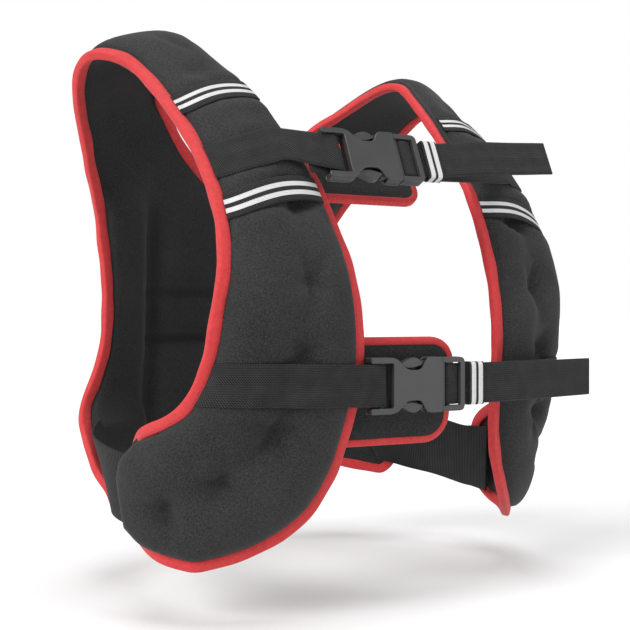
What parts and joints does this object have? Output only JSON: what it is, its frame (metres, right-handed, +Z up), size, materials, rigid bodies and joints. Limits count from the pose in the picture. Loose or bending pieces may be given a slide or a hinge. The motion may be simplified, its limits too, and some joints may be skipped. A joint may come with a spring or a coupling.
{
  "type": "weighted vest",
  "caption": "Padded sleeveless weighted vest with bound edges, buckled chest and waist straps over sewn flaps, elastic sides and a mesh back pocket.",
  "frame": {"origin": "midway between the two shoulders, level with the lining where the vest sits on them", "axes": "+Z up, -Y the way the wearer faces, +X to the wearer's left"},
  "size_m": [0.4362, 0.3268, 0.415],
  "materials": {
    "neoprene": "matt knitted face over foam and filling, with a fine grain",
    "binding": "ribbed coral red edging tape, slightly soft sheen",
    "webbing": "black twill webbing",
    "elastic": "black flat elastic with two white lines",
    "side_elastic": "dark grey ribbed elastic",
    "buckle": "fine grained dark grey plastic",
    "mesh": "dark grey open mesh"
  },
  "bodies": {
    "root": {"front_panel_right": "neoprene", "front_panel_left": "neoprene", "back_panel": "neoprene", "front_binding_right": "binding", "front_binding_left": "binding", "armhole_binding_right": "binding", "armhole_binding_left": "binding", "upper_band_right": "elastic", "upper_band_left": "elastic", "lower_band_right": "elastic", "lower_band_left": "elastic", "chest_webbing_right": "webbing", "chest_webbing_left": "webbing", "chest_keeper": "elastic", "chest_buckle_socket": "buckle", "chest_buckle_plug": "buckle", "chest_flap": "neoprene", "chest_flap_binding": "binding", "waist_webbing_right": "webbing", "waist_webbing_left": "webbing", "waist_keeper": "elastic", "waist_buckle_socket": "buckle", "waist_buckle_plug": "buckle", "waist_flap": "neoprene", "waist_flap_binding": "binding", "side_elastic_right": "side_elastic", "side_elastic_left": "side_elastic", "back_pocket": "mesh"}
  },
  "joints": []
}
